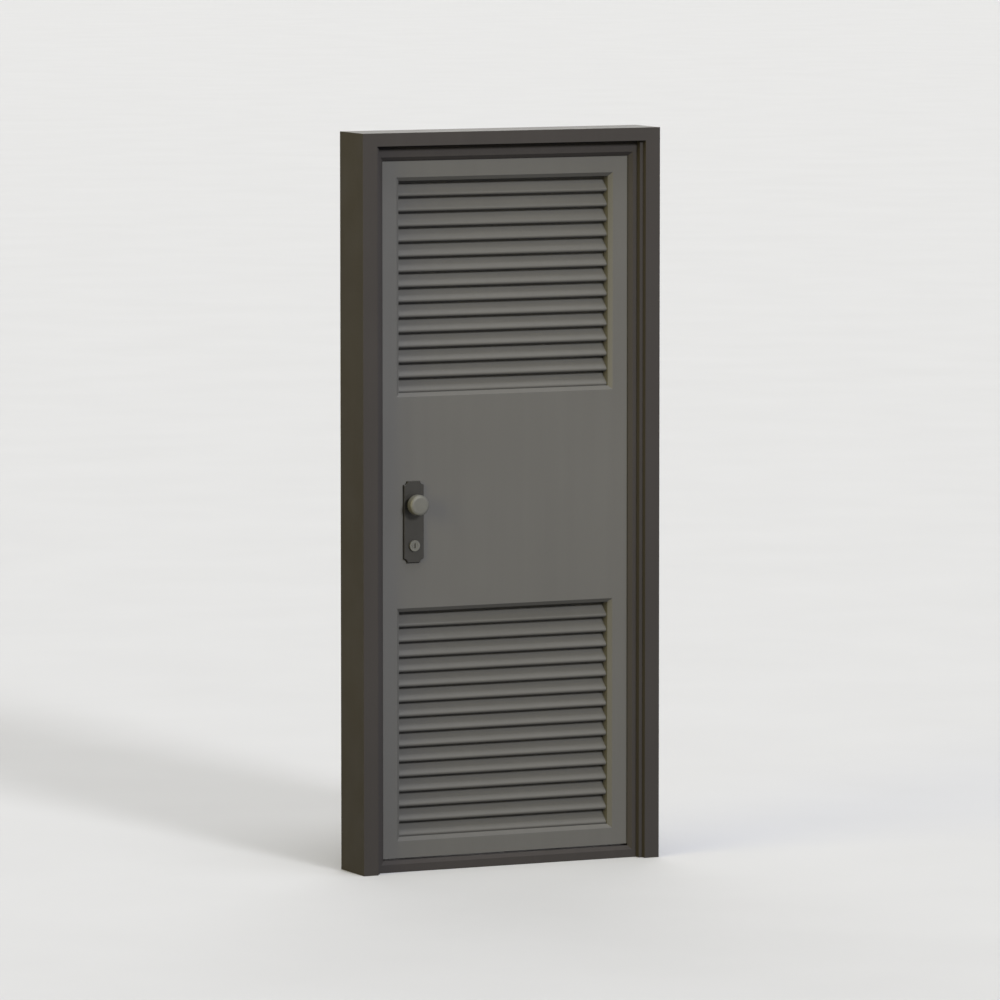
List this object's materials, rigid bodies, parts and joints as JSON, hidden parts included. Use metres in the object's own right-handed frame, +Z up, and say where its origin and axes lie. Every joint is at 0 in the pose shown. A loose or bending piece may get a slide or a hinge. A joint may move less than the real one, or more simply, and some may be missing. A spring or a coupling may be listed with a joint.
{
  "type": "louvred steel door in its frame",
  "caption": "A steel door leaf with two louvred panels, a round knob and a key cylinder on one plate, hung in a deep stepped steel frame with a sill.",
  "frame": {"origin": "on the floor, midway between the jambs and midway through the frame's depth", "axes": "+Z up, +X towards the hinge jamb, -Y towards the viewer, on the side the leaf closes towards"},
  "size_m": [0.951, 0.1665, 2.15],
  "materials": {
    "frame_paint": "satin paint",
    "leaf_paint": "satin paint",
    "plate_metal": "dark satin",
    "knob_metal": "satin",
    "hardware_steel": "satin"
  },
  "bodies": {
    "frame": {"lock_jamb_front": "frame_paint", "lock_jamb_back": "frame_paint", "hinge_jamb_front": "frame_paint", "hinge_jamb_back": "frame_paint", "frame_head_front": "frame_paint", "frame_head_back": "frame_paint", "sill": "frame_paint", "strike_plate": "hardware_steel", "frame_hinge_halves": "hardware_steel"},
    "leaf": {"lock_stile": "leaf_paint", "hinge_stile": "leaf_paint", "bottom_rail": "leaf_paint", "lock_rail": "leaf_paint", "top_rail": "leaf_paint", "upper_blade_01": "leaf_paint", "upper_blade_02": "leaf_paint", "upper_blade_03": "leaf_paint", "upper_blade_04": "leaf_paint", "upper_blade_05": "leaf_paint", "upper_blade_06": "leaf_paint", "upper_blade_07": "leaf_paint", "upper_blade_08": "leaf_paint", "upper_blade_09": "leaf_paint", "upper_blade_10": "leaf_paint", "upper_blade_11": "leaf_paint", "upper_blade_12": "leaf_paint", "upper_blade_13": "leaf_paint", "upper_blade_14": "leaf_paint", "lower_blade_01": "leaf_paint", "lower_blade_02": "leaf_paint", "lower_blade_03": "leaf_paint", "lower_blade_04": "leaf_paint", "lower_blade_05": "leaf_paint", "lower_blade_06": "leaf_paint", "lower_blade_07": "leaf_paint", "lower_blade_08": "leaf_paint", "lower_blade_09": "leaf_paint", "lower_blade_10": "leaf_paint", "lower_blade_11": "leaf_paint", "lower_blade_12": "leaf_paint", "lower_blade_13": "leaf_paint", "lower_blade_14": "leaf_paint", "lower_blade_15": "leaf_paint", "forend": "hardware_steel", "latch_bolt": "hardware_steel", "leaf_hinge_halves": "hardware_steel", "front_lock_plate": "plate_metal", "back_lock_plate": "plate_metal", "front_key_collar": "knob_metal", "back_key_collar": "knob_metal"},
    "knobs": {"front_knob": "knob_metal", "back_knob": "knob_metal", "knob_spindle": "hardware_steel"},
    "key_plug": {"key_plug": "knob_metal"}
  },
  "joints": [
    {"name": "leaf_swing", "type": "hinge", "parent": "frame", "child": "leaf", "pos_m": [0.4025, 0.0285, 1.06], "axis": [0, 0, -1], "range_deg": [0, 110]},
    {"name": "knob_turn", "type": "hinge", "parent": "leaf", "child": "knobs", "pos_m": [-0.2965, -0.0055, 1.071], "axis": [0, 1, 0], "range_deg": [-60, 60], "stiffness_Nm_per_rad": 0.4},
    {"name": "key_turn", "type": "hinge", "parent": "leaf", "child": "key_plug", "pos_m": [-0.2965, -0.0055, 0.951], "axis": [0, 1, 0], "range_deg": [-90, 90]}
  ]
}
